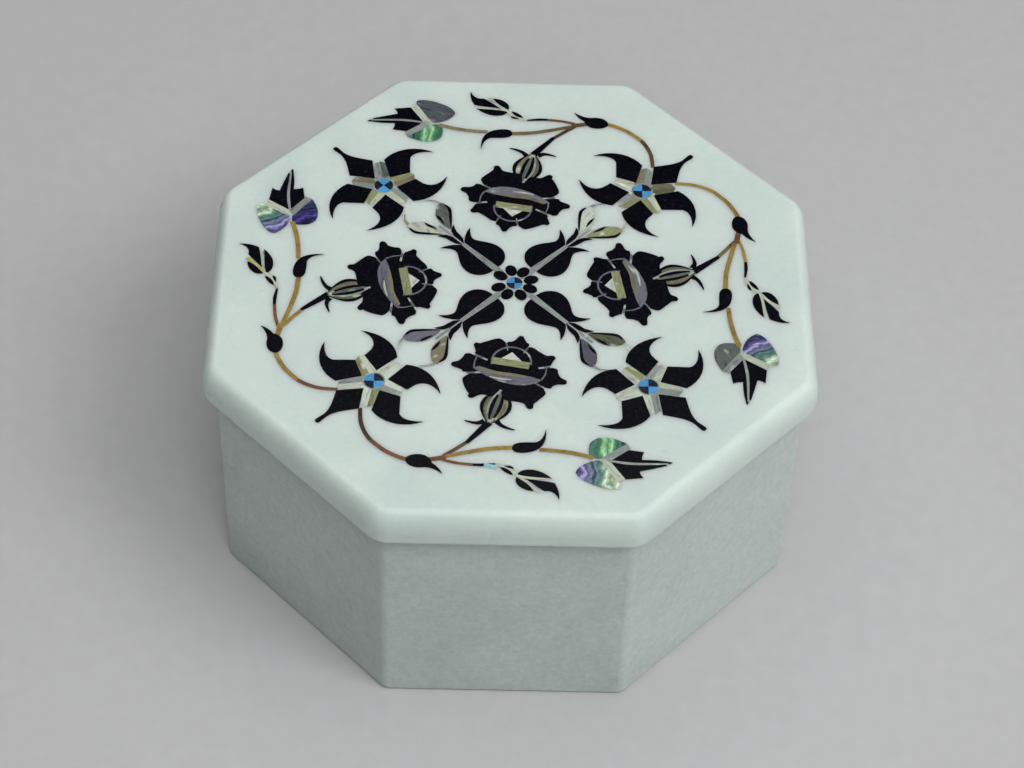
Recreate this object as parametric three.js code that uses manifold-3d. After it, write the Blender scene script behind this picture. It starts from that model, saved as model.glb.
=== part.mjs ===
// Octagonal marble jewelry box with a lift-off lid and a floral stone inlay.
// Millimetres, +Z up, +Y to the back. The origin is the centre of the underside.
import * as THREE from "three";
import { mergeVertices } from "three/addons/utils/BufferGeometryUtils.js";
import Module from "manifold-3d";

const wasm = await Module();
wasm.setup();

// Box, measured across its flats
const boxWidth = 97.2;
const boxHeight = 42.9;
const boxCornerRound = 2.2;
const footRound = 0.8;
const wallThickness = 6.5;
const floorThickness = 6.0;
const cavityCornerRound = 4.0;
const cavityFloorRound = 2.0;

// Lid, a slab that overhangs the walls, with a step below that drops into the cavity
const lidOverhang = 2.2;
const lidThickness = 7.1;
const lidCornerRound = 5.3;
const lidTopRound = 3.4;
const lidUnderRound = 1.2;
const stepDepth = 4.0;
const stepClearance = 0.8;
const stepChamfer = 1.0;

// Inlay: stones flush with the lid's top, each in a pocket with room for its cement
const fieldMargin = 0.8;
const pocketDepth = 1.6;
const cementGap = 0.25;

// Facets
const sides = 8;
const cornerSteps = 3;
const roundSteps = 3;
const curveSteps = 3;
const discSteps = 10;

// Sizes that follow
const cavityWidth = boxWidth - 2 * wallThickness;
const lidWidth = boxWidth + 2 * lidOverhang;
const stepWidth = cavityWidth - 2 * stepClearance;
const lidTop = boxHeight + lidThickness;

// The inlay is one free design. Its shapes and places are hundredths of the field's width.
const fieldWidth = lidWidth - 2 * fieldMargin;
const share = fieldWidth / 100;

const flowerPlace = 22.4;
const flowerDiscRadius = 1.65;
const petalPitch = 72;
const centrePlace = [0.4, 0];
const centreDiscRadius = 1.3;
const rosePlace = 19.6;
const roseLobes = 7;
const roseBudGap = 70;
const roseBudTurn = 14;
const roseLobeRadius = 7.2;
const roseNotchRadius = 6.2;
const roseKnobRadius = 9.2;
const roseKnobTurn = 4;
const roseBudPlace = 7.2;
const roseBudTilt = 5;
const stemWidth = 0.85;
const branchPlace = [38.4, 11];
const firstLeafPlace = [39.0, 16.8];
const secondLeafPlace = [36.1, 0.6];
const bigLeafPlace = [37.9, -15.4];
const bigLeafTurn = -88;
const budLeafPlace = [42.0, -1.2];
const budLeafTurn = -66;

// Colours and finish
const marble = new THREE.MeshStandardMaterial({ color: 0xdfe6e2, roughness: 0.3, metalness: 0 });
const darkStone = new THREE.MeshStandardMaterial({ color: 0x07080d, roughness: 0.2, metalness: 0 });
const turquoise = new THREE.MeshStandardMaterial({ color: 0x4783b0, roughness: 0.3, metalness: 0 });
const shell = new THREE.MeshStandardMaterial({ color: 0x8f9484, roughness: 0.2, metalness: 0 });
const jasper = new THREE.MeshStandardMaterial({ color: 0x8a6a3a, roughness: 0.3, metalness: 0 });

const object = new THREE.Group();

function addMesh(name, geometry, material) {
  const mesh = new THREE.Mesh(geometry, material);
  mesh.name = name;
  object.add(mesh);
}

// Solids and back to geometry

function solidOf(geometry) {
  const bare = geometry.clone();
  bare.deleteAttribute("normal");
  bare.deleteAttribute("uv");
  const welded = mergeVertices(bare);
  return new wasm.Manifold(new wasm.Mesh({
    numProp: 3,
    vertProperties: new Float32Array(welded.attributes.position.array),
    triVerts: new Uint32Array(welded.index.array),
  }));
}

function geometryOf(solid) {
  const mesh = solid.getMesh();
  const geometry = new THREE.BufferGeometry();
  geometry.setAttribute("position", new THREE.BufferAttribute(mesh.vertProperties, 3));
  geometry.setIndex(new THREE.BufferAttribute(mesh.triVerts, 1));
  geometry.computeVertexNormals();
  return geometry;
}

function joined(solids) {
  return solids.reduce((whole, piece) => whole.add(piece));
}

// Octagonal rings, lofted into the two marble pieces

function octagonRing(width, cornerRound, z) {
  const halfCorner = Math.PI / sides;
  const centreDistance = (width / 2 - cornerRound) / Math.cos(halfCorner);
  const ring = [];
  for (let side = 0; side < sides; side += 1) {
    const corner = (2 * side + 1) * halfCorner;
    for (let step = 0; step <= cornerSteps; step += 1) {
      const turn = corner + halfCorner * (2 * step / cornerSteps - 1);
      ring.push([
        centreDistance * Math.cos(corner) + cornerRound * Math.cos(turn),
        centreDistance * Math.sin(corner) + cornerRound * Math.sin(turn),
        z,
      ]);
    }
  }
  return ring;
}

// A quarter round between a flat and a wall, as [inset from the wall, distance from the flat]
function quarterRound(radius) {
  return Array.from({ length: roundSteps + 1 }, (_, step) => {
    const turn = step / roundSteps * Math.PI / 2;
    return [radius * (1 - Math.sin(turn)), radius * (1 - Math.cos(turn))];
  });
}

// A closed solid from rings of equal length: flat over the first and over the last
function loft(rings) {
  const count = rings[0].length;
  const positions = [0, 0, rings[0][0][2], ...rings.flat(2), 0, 0, rings.at(-1)[0][2]];
  const last = rings.length * count + 1;
  const faces = [];
  for (let i = 0; i < count; i += 1) {
    const next = (i + 1) % count;
    faces.push(0, 1 + next, 1 + i);
    faces.push(last, last - count + i, last - count + next);
    for (let level = 0; level < rings.length - 1; level += 1) {
      const low = 1 + level * count;
      const high = low + count;
      faces.push(low + i, low + next, high + next);
      faces.push(low + i, high + next, high + i);
    }
  }
  const geometry = new THREE.BufferGeometry();
  geometry.setAttribute("position", new THREE.Float32BufferAttribute(positions, 3));
  geometry.setIndex(faces);
  geometry.computeVertexNormals();
  return geometry;
}

function boxGeometry() {
  const outer = (inset, z) => octagonRing(boxWidth - 2 * inset, boxCornerRound - inset, z);
  const inner = (inset, z) => octagonRing(cavityWidth - 2 * inset, cavityCornerRound - inset, z);
  return loft([
    ...quarterRound(footRound).map(([inset, rise]) => outer(inset, rise)),
    outer(0, boxHeight),
    inner(0, boxHeight),
    ...quarterRound(cavityFloorRound).reverse()
      .map(([inset, rise]) => inner(inset, floorThickness + rise)),
  ]);
}

function lidGeometry() {
  const slab = (inset, z) => octagonRing(lidWidth - 2 * inset, lidCornerRound - inset, z);
  const stepRound = cavityCornerRound - stepClearance;
  const step = (inset, z) => octagonRing(stepWidth - 2 * inset, stepRound - inset, z);
  return loft([
    step(stepChamfer, boxHeight - stepDepth),
    step(0, boxHeight - stepDepth + stepChamfer),
    step(0, boxHeight),
    ...quarterRound(lidUnderRound).map(([inset, rise]) => slab(inset, boxHeight + rise)),
    ...quarterRound(lidTopRound).reverse().map(([inset, drop]) => slab(inset, lidTop - drop)),
  ]);
}

// Outlines of the inlay stones, in the field's hundredths, along +X from the motif's centre

function outlineOf(shape) {
  const points = shape.getPoints(curveSteps);
  const last = points.at(-1);
  return last.equals(points[0]) ? points.slice(0, -1) : points;
}

function disc(radius) {
  return Array.from({ length: discSteps }, (_, i) => polar(radius, i * 360 / discSteps));
}

function polar(radius, degrees) {
  const turn = THREE.MathUtils.degToRad(degrees);
  return new THREE.Vector2(radius * Math.cos(turn), radius * Math.sin(turn));
}

// A diamond body whose outer end sweeps round into a thin hook, to the left
function hookedPetal(tipAlong, tipAcross) {
  const petal = new THREE.Shape();
  petal.moveTo(2.3, 0);
  petal.lineTo(5.6, -2.9);
  petal.bezierCurveTo(8.8, -2.6, tipAlong, tipAcross - 3.2, tipAlong, tipAcross);
  petal.quadraticCurveTo(tipAlong - 1.2, 0.4, 8.1, 0.9);
  petal.lineTo(4.9, 2.5);
  return outlineOf(petal);
}

// The flower's outward petal: a diamond that narrows to a straight tail
function tailPetal() {
  const petal = new THREE.Shape();
  petal.moveTo(2.3, 0);
  petal.lineTo(5.8, -2.7);
  petal.quadraticCurveTo(8.4, -0.9, 12.4, -0.45);
  petal.lineTo(12.4, 0.45);
  petal.quadraticCurveTo(8.4, 0.9, 5.8, 2.7);
  return outlineOf(petal);
}

// Half of a heart left of its diagonal, with a hook at the outer end
function halfHeart() {
  const heart = new THREE.Shape();
  heart.moveTo(4.9, 0.85);
  heart.bezierCurveTo(4.6, 3.0, 6.4, 4.0, 8.0, 3.9);
  heart.bezierCurveTo(10.4, 3.7, 11.4, 0.8, 14.5, 3.6);
  heart.quadraticCurveTo(13.8, 1.6, 12.3, 0.75);
  return outlineOf(heart);
}

// A dark fork beyond the heart and a shell bud off each of its points
function calyx() {
  const fork = new THREE.Shape();
  fork.moveTo(13.1, 0);
  fork.lineTo(14.3, -0.8);
  fork.lineTo(17.2, -1.9);
  fork.lineTo(16.0, 0);
  fork.lineTo(17.2, 1.9);
  fork.lineTo(14.3, 0.8);
  const bud = new THREE.Shape();
  bud.moveTo(15.5, 0.5);
  bud.quadraticCurveTo(18.2, 4.6, 22.3, 4.3);
  bud.quadraticCurveTo(21.6, 1.4, 15.5, 0.5);
  const leftBud = outlineOf(bud);
  return [outlineOf(fork), leftBud, mirrored(leftBud)];
}

// Lobes round a circle, each drawn out to a knob; the widest gap holds the bud
function rose() {
  const pitch = (360 - roseBudGap) / (roseLobes - 1);
  const outline = [polar(roseNotchRadius, 0)];
  for (let lobe = 0; lobe < roseLobes; lobe += 1) {
    const knob = roseBudGap / 2 + lobe * pitch;
    outline.push(polar(roseLobeRadius, knob - pitch * 0.3));
    outline.push(polar(roseKnobRadius, knob - roseKnobTurn));
    outline.push(polar(roseKnobRadius, knob + roseKnobTurn));
    outline.push(polar(roseLobeRadius, knob + pitch * 0.25));
    if (lobe < roseLobes - 1) {
      outline.push(polar(roseNotchRadius, knob + pitch / 2));
    }
  }
  return outline;
}

function spindle(from, length, width) {
  const leaf = new THREE.Shape();
  leaf.moveTo(from, 0);
  leaf.quadraticCurveTo(from + length / 2, -width, from + length, 0);
  leaf.quadraticCurveTo(from + length / 2, width, from, 0);
  return outlineOf(leaf);
}

// A small leaf whose point curls to the left of the way it grows
function commaLeaf(length, halfWidth, tipAlong, tipAcross) {
  const leaf = new THREE.Shape();
  leaf.moveTo(0, 0);
  leaf.bezierCurveTo(0.2 * length, -1.3 * halfWidth, tipAlong + 0.6, -halfWidth, tipAlong, tipAcross);
  leaf.quadraticCurveTo(0.85 * length, halfWidth, 0.7 * length, halfWidth);
  leaf.quadraticCurveTo(0.25 * length, 1.3 * halfWidth, 0, 0);
  return outlineOf(leaf);
}

// Ivy shaped tip between two round lobes, held by strips of shell
function bigLeaf() {
  const tip = [[0, 0], [2.8, -2.4], [5.4, -2.2], [4.9, -0.9], [9.7, 0], [4.9, 0.9], [5.4, 2.2], [2.8, 2.4]];
  const lobe = spindle(-0.4, 7, 5);
  return [
    tip.map(([along, across]) => new THREE.Vector2(along, across)),
    placed(lobe, -128, [0.9, -0.6]),
    placed(lobe, 128, [0.9, 0.6]),
  ];
}

// A strip of even width along a smooth route
function strip(route) {
  const curve = new THREE.SplineCurve(route.map(([x, y]) => new THREE.Vector2(x, y)));
  const steps = (route.length - 1) * 2;
  const left = [];
  const right = [];
  for (let i = 0; i <= steps; i += 1) {
    const at = curve.getPoint(i / steps);
    const along = curve.getTangent(i / steps);
    const across = new THREE.Vector2(-along.y, along.x).multiplyScalar(stemWidth / 2);
    left.unshift(at.clone().add(across));
    right.push(at.clone().sub(across));
  }
  return [...right, ...left];
}

// Stems and comma leaves of the vine along the right side
function vine() {
  return [
    placed(commaLeaf(5.2, 1.2, 5.9, 1.9), -90, firstLeafPlace),
    placed(mirrored(commaLeaf(5.4, 1.2, 5.9, 4.1)), -90, secondLeafPlace),
    strip([[28.9, 24.5], [34.8, 22.8], [37.6, 19.6], [39.0, 15.6]]),
    strip([[39.2, 14.0], [38.9, 12.4], branchPlace]),
    strip([branchPlace, [36.9, 5.4], [36.0, -1.2]]),
    strip([[36.1, -3.0], [36.5, -8.2], [37.7, -13.4]]),
    strip([branchPlace, [35.0, 7.0], [31.9, 4.5]]),
    strip([branchPlace, [39.6, 6.2], [40.9, 0.4]]),
  ];
}

// Moves of an outline, always returned counter-clockwise

function ordered(points) {
  return THREE.ShapeUtils.isClockWise(points) ? [...points].reverse() : points;
}

function placed(points, degrees, [x, y] = [0, 0]) {
  const origin = new THREE.Vector2();
  const turn = THREE.MathUtils.degToRad(degrees);
  const at = new THREE.Vector2(x, y);
  return ordered(points.map((point) => point.clone().rotateAround(origin, turn).add(at)));
}

function mirrored(points) {
  return ordered(points.map((point) => new THREE.Vector2(point.x, -point.y)));
}

// Each corner moves out along its bisector, not past twice the gap
function grown(points, gap) {
  return points.map((point, i) => {
    const before = point.clone().sub(points.at(i - 1)).normalize();
    const after = points[(i + 1) % points.length].clone().sub(point).normalize();
    const outward = new THREE.Vector2(before.y + after.y, -before.x - after.x).normalize();
    const reach = Math.max(outward.x * before.y - outward.y * before.x, 0.5);
    return point.clone().addScaledVector(outward, gap / reach);
  });
}

// Stones and their pockets

function prism(points, bottom, height) {
  const flat = new THREE.ExtrudeGeometry(new THREE.Shape(points), {
    depth: height,
    bevelEnabled: false,
  });
  return solidOf(flat.translate(0, 0, bottom));
}

const pockets = [];

function setStone(name, outlines, material) {
  const inMillimetres = outlines.map((outline) =>
    ordered(outline).map((point) => point.clone().multiplyScalar(share)));
  const bottom = lidTop - pocketDepth;
  const stone = joined(inMillimetres.map((outline) => prism(outline, bottom, pocketDepth)));
  addMesh(name, geometryOf(stone), material);
  for (const outline of inMillimetres) {
    pockets.push(prism(grown(outline, cementGap), bottom, 2 * pocketDepth)); // open above the lid
  }
}

// The four corners, and the four sides as moves of the right side

const corners = { front_right: -45, back_right: 45, back_left: 135, front_left: -135 };
const sideMoves = {
  right: ({ x, y }) => new THREE.Vector2(x, y),
  back: ({ x, y }) => new THREE.Vector2(y, x),
  left: ({ x, y }) => new THREE.Vector2(-x, -y),
  front: ({ x, y }) => new THREE.Vector2(-y, -x),
};

setStone("centre_disc", [placed(disc(centreDiscRadius), 0, centrePlace)], turquoise);

for (const [corner, outward] of Object.entries(corners)) {
  const flower = polar(flowerPlace * Math.SQRT2, outward).toArray();
  setStone(`flower_${corner}_disc`, [placed(disc(flowerDiscRadius), outward, flower)], turquoise);
  const sidePetal = hookedPetal(11.2, 3.4);
  const innerPetal = hookedPetal(10.3, 4.2);
  const petals = [
    placed(tailPetal(), outward, flower),
    placed(sidePetal, outward + petalPitch, flower),
    placed(mirrored(innerPetal), outward + 2 * petalPitch, flower),
    placed(innerPetal, outward - 2 * petalPitch, flower),
    placed(mirrored(sidePetal), outward - petalPitch, flower),
  ];
  petals.forEach((petal, i) => setStone(`flower_${corner}_petal_${i + 1}`, [petal], darkStone));

  setStone(`heart_${corner}_left`, [placed(halfHeart(), outward, centrePlace)], darkStone);
  setStone(`heart_${corner}_right`, [placed(mirrored(halfHeart()), outward, centrePlace)], darkStone);
  setStone(`calyx_${corner}`, calyx().map((piece) => placed(piece, outward, centrePlace)), shell);
}

const roseCentre = [rosePlace, 0];
const rightSide = {
  rose: [[placed(rose(), roseBudTurn, roseCentre)], darkStone],
  bud: [[placed(spindle(roseBudPlace, 4.4, 2.6), roseBudTurn + roseBudTilt, roseCentre)], shell],
  vine: [vine(), jasper],
  big_leaf: [bigLeaf().map((piece) => placed(piece, bigLeafTurn, bigLeafPlace)), darkStone],
  bud_leaf: [[placed(commaLeaf(6.2, 2.1, 7.9, 2.2), budLeafTurn, budLeafPlace)], darkStone],
};

for (const [side, move] of Object.entries(sideMoves)) {
  for (const [motif, [outlines, material]] of Object.entries(rightSide)) {
    setStone(`${motif}_${side}`, outlines.map((outline) => outline.map(move)), material);
  }
}

addMesh("box", boxGeometry(), marble);
addMesh("lid", geometryOf(solidOf(lidGeometry()).subtract(joined(pockets))), marble);

export default object;
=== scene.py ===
# Octagonal marble jewelry box with a lift-off lid and a floral stone inlay.
# Metres, +Z up, +Y to the back, as in the CAD model. The outlines of the inlay are written in
# millimetres from the middle of the lid and turned into metres when the meshes are made.
import math
import random

import bpy
from mathutils import Matrix, Vector
from mathutils.geometry import delaunay_2d_cdt


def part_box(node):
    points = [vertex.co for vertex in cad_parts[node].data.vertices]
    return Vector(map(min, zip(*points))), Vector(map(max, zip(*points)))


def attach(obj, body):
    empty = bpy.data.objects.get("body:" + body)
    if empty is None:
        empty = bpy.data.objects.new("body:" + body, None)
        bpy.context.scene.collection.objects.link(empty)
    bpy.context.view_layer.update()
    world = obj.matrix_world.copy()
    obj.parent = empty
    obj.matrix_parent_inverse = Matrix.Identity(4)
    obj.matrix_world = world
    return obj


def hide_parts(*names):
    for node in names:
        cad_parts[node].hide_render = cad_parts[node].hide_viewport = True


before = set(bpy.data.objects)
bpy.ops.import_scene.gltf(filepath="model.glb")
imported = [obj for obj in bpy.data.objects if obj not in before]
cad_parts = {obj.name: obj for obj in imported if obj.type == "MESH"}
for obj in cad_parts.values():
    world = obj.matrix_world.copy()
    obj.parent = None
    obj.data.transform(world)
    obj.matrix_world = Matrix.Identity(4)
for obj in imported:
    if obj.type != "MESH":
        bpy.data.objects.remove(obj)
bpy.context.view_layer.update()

MM = 0.001
RNG = random.Random(15)

# Sizes of the two marble pieces, in millimetres. The outer ones are read from the CAD model.
lid_low, lid_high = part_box("lid")
box_low, box_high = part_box("box")
disc_low, disc_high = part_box("centre_disc")
LID_WIDTH = (lid_high.x - lid_low.x) / MM
LID_TOP = lid_high.z / MM
BOX_WIDTH = (box_high.x - box_low.x) / MM
BOX_HEIGHT = box_high.z / MM
STEP_BOTTOM = lid_low.z / MM
POCKET_FLOOR = disc_low.z / MM
WALL = 6.5
FLOOR = 6.0
STEP_CLEARANCE = 0.8
STEP_CHAMFER = 1.0
BOX_CORNER = 2.2
FOOT_ROUND = 0.8
RIM_ROUND = 0.35
CAVITY_CORNER = 4.0
CAVITY_ROUND = 2.0
CAVITY_WIDTH = BOX_WIDTH - 2 * WALL
STEP_WIDTH = CAVITY_WIDTH - 2 * STEP_CLEARANCE
SIDES = 8
CORNER_STEPS = 10
ROUND_STEPS = 10

# Rings of the octagon


def octagon_ring(width, corner_round, z, rise):
    """Points and normals of an octagon with round corners. rise is the normal's upward turn, in degrees."""
    half = math.pi / SIDES
    centre = (width / 2 - corner_round) / math.cos(half)
    level = math.cos(math.radians(rise))
    up = math.sin(math.radians(rise))
    points = []
    for side in range(SIDES):
        corner = (2 * side + 1) * half
        for step in range(CORNER_STEPS + 1):
            turn = corner + half * (2 * step / CORNER_STEPS - 1)
            x = centre * math.cos(corner) + corner_round * math.cos(turn)
            y = centre * math.sin(corner) + corner_round * math.sin(turn)
            normal = (level * math.cos(turn), level * math.sin(turn), up)
            points.append(((x, y, z), normal))
    return points


def inward(ring):
    """The same ring in a cavity: its level normals point to the middle."""
    return [(point, (-n[0], -n[1], n[2])) for point, n in ring]


def rounded(width, corner_round, z, radius, first, last, upward, tall=None):
    """Rings of a quarter round from one turn of its normal to another, in degrees. tall makes it an oval."""
    tall = tall or radius
    rings = []
    for step in range(ROUND_STEPS + 1):
        turn = math.radians(first + (last - first) * step / ROUND_STEPS)
        inset = radius * (1 - math.cos(turn))
        drop = tall * (1 - abs(math.sin(turn)))
        height = z - drop if upward else z + drop
        rise = math.degrees(math.atan2(math.sin(turn) / tall, math.cos(turn) / radius))
        rings.append(octagon_ring(width - 2 * inset, max(corner_round - inset, 0.05), height, rise))
    return rings


class Skin:
    """A mesh in the making: faces whose corners share points, each corner with its own normal."""

    def __init__(self):
        self.points = []
        self.index = {}
        self.faces = []
        self.normals = []
        self.locals = {}
        self.tints = {}

    def corner(self, point, key=None):
        spot = (key, round(point[0], 5), round(point[1], 5), round(point[2], 5))
        if spot not in self.index:
            self.index[spot] = len(self.points)
            self.points.append(point)
        return self.index[spot]

    def face(self, corners, normals, key=None):
        found = [self.corner(point, key) for point in corners]
        if len(set(found)) < 3:
            return []
        self.faces.append(found)
        self.normals.append(normals)
        return found

    def between(self, low, high):
        """A band of faces between two rings, seen from outside when high is above low."""
        count = len(low)
        for i in range(count):
            j = (i + 1) % count
            four = [low[i], low[j], high[j], high[i]]
            self.face([c[0] for c in four], [c[1] for c in four])

    def cap(self, ring, normal):
        points = [c[0] for c in ring]
        if normal[2] < 0:
            points.reverse()
        self.face(points, [normal] * len(points))

    def make(self, name):
        mesh = bpy.data.meshes.new(name)
        mesh.from_pydata([Vector(p) * MM for p in self.points], [], self.faces)
        flat = [Vector(n).normalized() for face in self.normals for n in face]
        mesh.normals_split_custom_set(flat)
        if self.locals:
            order = range(len(self.points))
            places = [value for i in order for value in self.locals[i]]
            tints = [value for i in order for value in self.tints[i]]
            mesh.attributes.new("stone_place", "FLOAT_VECTOR", "POINT")
            mesh.attributes["stone_place"].data.foreach_set("vector", places)
            mesh.attributes.new("stone_tint", "FLOAT_COLOR", "POINT")
            mesh.attributes["stone_tint"].data.foreach_set("color", tints)
        made = bpy.data.objects.new(name, mesh)
        bpy.context.scene.collection.objects.link(made)
        return made


# Outlines, in millimetres


def polar(radius, degrees):
    turn = math.radians(degrees)
    return (radius * math.cos(turn), radius * math.sin(turn))


def mix(a, b, share):
    return a + (b - a) * share


def path(start, *legs, steps=9):
    """Points along straight and curved legs. A leg has its end alone, or one or two handles before it."""
    points = [start]
    for leg in legs:
        first = points[-1]
        if len(leg) == 1:
            points.append(leg[0])
            continue
        for step in range(1, steps + 1):
            t = step / steps
            s = 1 - t
            if len(leg) == 2:
                weights = (s * s, 2 * s * t, t * t)
            else:
                weights = (s ** 3, 3 * s * s * t, 3 * s * t * t, t ** 3)
            knots = (first, *leg)
            points.append(tuple(sum(w * k[axis] for w, k in zip(weights, knots)) for axis in (0, 1)))
    return points


def smooth(knots, closed=True, steps=6):
    """A smooth curve through the knots."""
    count = len(knots)
    points = []
    for i in range(count if closed else count - 1):
        if closed:
            four = [knots[(i + k) % count] for k in (-1, 0, 1, 2)]
        else:
            four = [knots[min(max(i + k, 0), count - 1)] for k in (-1, 0, 1, 2)]
        for step in range(steps):
            t = step / steps
            point = []
            for axis in (0, 1):
                p0, p1, p2, p3 = (k[axis] for k in four)
                point.append(0.5 * (2 * p1 + (p2 - p0) * t + (2 * p0 - 5 * p1 + 4 * p2 - p3) * t * t
                                    + (3 * p1 - p0 - 3 * p2 + p3) * t ** 3))
            points.append(tuple(point))
    if not closed:
        points.append(knots[-1])
    return points


def disc(radius, at=(0, 0), steps=36, first=0, last=360):
    """A full disc, or a slice of one."""
    whole = last - first == 360
    points = [] if whole else [at]
    for step in range(steps if whole else steps + 1):
        x, y = polar(radius, first + (last - first) * step / steps)
        points.append((at[0] + x, at[1] + y))
    return points


def oval(along, across, at, degrees, steps=24):
    turn = math.radians(degrees)
    points = []
    for step in range(steps):
        x, y = polar(1, 360 * step / steps)
        x, y = x * along, y * across
        points.append((at[0] + x * math.cos(turn) - y * math.sin(turn),
                       at[1] + x * math.sin(turn) + y * math.cos(turn)))
    return points


def ribbon(route, widths, steps=6):
    """A strip along a smooth route. widths are its widths at the ends, or at each knot."""
    line = smooth(route, closed=False, steps=steps)
    count = len(line) - 1
    left, right = [], []
    for i, (x, y) in enumerate(line):
        before, after = line[max(i - 1, 0)], line[min(i + 1, count)]
        dx, dy = after[0] - before[0], after[1] - before[1]
        size = math.hypot(dx, dy) or 1
        spot = i / count * (len(widths) - 1)
        k = min(int(spot), len(widths) - 2)
        half = mix(widths[k], widths[k + 1], spot - k) / 2
        left.append((x - dy / size * half, y + dx / size * half))
        right.append((x + dy / size * half, y - dx / size * half))
    return right + left[::-1]


def mirrored(points):
    return [(x, -y) for x, y in points]


def turned(points, degrees, at=(0, 0)):
    c, s = math.cos(math.radians(degrees)), math.sin(math.radians(degrees))
    return [(at[0] + x * c - y * s, at[1] + x * s + y * c) for x, y in points]


def area_of(points):
    total = 0
    for i, (x, y) in enumerate(points):
        x2, y2 = points[(i + 1) % len(points)]
        total += x * y2 - x2 * y
    return total / 2


# Colours, as they are seen, turned into linear light


def linear(red, green, blue):
    values = []
    for value in (red, green, blue):
        value = value / 255
        values.append(value / 12.92 if value <= 0.04045 else ((value + 0.055) / 1.055) ** 2.4)
    return (*values, 1.0)


TINTS = {
    "cream": linear(206, 212, 192),
    "pearl": linear(222, 228, 214),
    "olive": linear(160, 163, 120),
    "moss": linear(104, 108, 84),
    "grey": linear(160, 165, 162),
    "smoke": linear(108, 114, 108),
    "slate": linear(92, 98, 106),
    "lilac": linear(122, 120, 134),
    "mauve": linear(96, 92, 106),
    "brown_grey": linear(136, 128, 106),
    "night": linear(5, 6, 11),
    "ink": linear(10, 14, 34),
    "sky": linear(70, 146, 200),
    "pale_sky": linear(140, 190, 198),
    "white": linear(255, 255, 255),
    "violet": linear(132, 116, 190),
    "leaf": linear(196, 236, 204),
    "ochre": linear(158, 134, 64),
    "yellow": linear(190, 188, 84),
    "umber": linear(100, 80, 54),
    "russet": linear(126, 84, 58),
    "bark": linear(70, 56, 44),
    "olive_brown": linear(116, 104, 66),
}

# The stones. Those set first lie over those set later.
PIECES = {}
STONES = []


def piece(name, slot, *nodes):
    PIECES[name] = {"slot": slot, "nodes": nodes}
    return name


def stone(piece_name, outline, tint, origin=(0, 0), degrees=0, move=None, phase=None):
    """Sets one stone. origin and degrees are the frame of its grain."""
    if move:
        outline = [move(p) for p in outline]
        x, y = polar(1, degrees)
        ahead = move((origin[0] + x, origin[1] + y))
        origin = move(origin)
        degrees = math.degrees(math.atan2(ahead[1] - origin[1], ahead[0] - origin[0]))
    if area_of(outline) < 0:
        outline = outline[::-1]
    STONES.append({
        "piece": piece_name,
        "outline": outline,
        "tint": TINTS[tint],
        "origin": origin,
        "degrees": degrees,
        "seed": RNG.uniform(0, 50),
        "shade": RNG.uniform(0.88, 1.12),
        "phase": phase,
    })


# The four corners: flower, half hearts, stem and buds

CORNERS = {"front_right": -45, "back_right": 45, "back_left": 135, "front_left": -135}
FLOWER_PLACE = 22.4 * math.sqrt(2)
CENTRE = (0.4, 0.0)
PETAL_PITCH = 72


def side_petal():
    return path((2.2, 0), [(5.5, -3.0)], [(8.8, -2.7), (11.3, 0.2), (11.3, 3.6)],
                [(10.4, 1.6), (9.3, 0.6), (8.1, 0.8)], [(4.9, 2.5)])


def inner_petal():
    return path((2.25, 0), [(5.7, -2.8)], [(8.6, -2.1), (10.4, 0.6), (10.4, 4.2)],
                [(9.5, 2.0), (8.2, 1.2), (6.6, 1.75)], [(5.1, 2.6)])


def tail_petal():
    side = path((2.25, 0), [(5.8, -2.7)], [(7.6, -1.6), (8.8, -0.55), (10.6, -0.35)], [(12.2, -0.46)],
                [(12.75, -0.46), (12.75, 0)])
    return side + mirrored(side)[::-1][1:-1]


def half_heart():
    return path((4.5, 0.6), [(4.4, 2.6), (5.9, 4.1), (7.7, 4.0)], [(9.6, 3.9), (10.6, 2.6), (11.8, 2.15)],
                [(12.6, 1.9), (13.5, 2.6), (14.4, 3.55)], [(14.2, 2.3), (13.4, 1.2), (12.5, 0.35)])


# The shell strips between a flower's petals, as degrees from the tail petal and a length. The
# tints of each strip's two halves follow the same order at every corner.
STRIPS = ((36, 5.7), (108, 5.3), (180, 5.6), (-108, 5.9), (-36, 5.9))
STRIP_TINTS = {
    "front_right": (("cream", "grey"), ("grey", "cream"), ("cream", "olive"), ("pearl", "cream"),
                    ("grey", "pearl")),
    "back_right": (("brown_grey", "grey"), ("pearl", "cream"), ("olive", "grey"), ("cream", "olive"),
                   ("brown_grey", "moss")),
    "back_left": (("grey", "brown_grey"), ("cream", "olive"), ("grey", "cream"), ("olive", "brown_grey"),
                  ("grey", "smoke")),
    "front_left": (("olive", "pearl"), ("pearl", "grey"), ("cream", "pearl"), ("olive", "pearl"),
                   ("pearl", "grey")),
}


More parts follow.
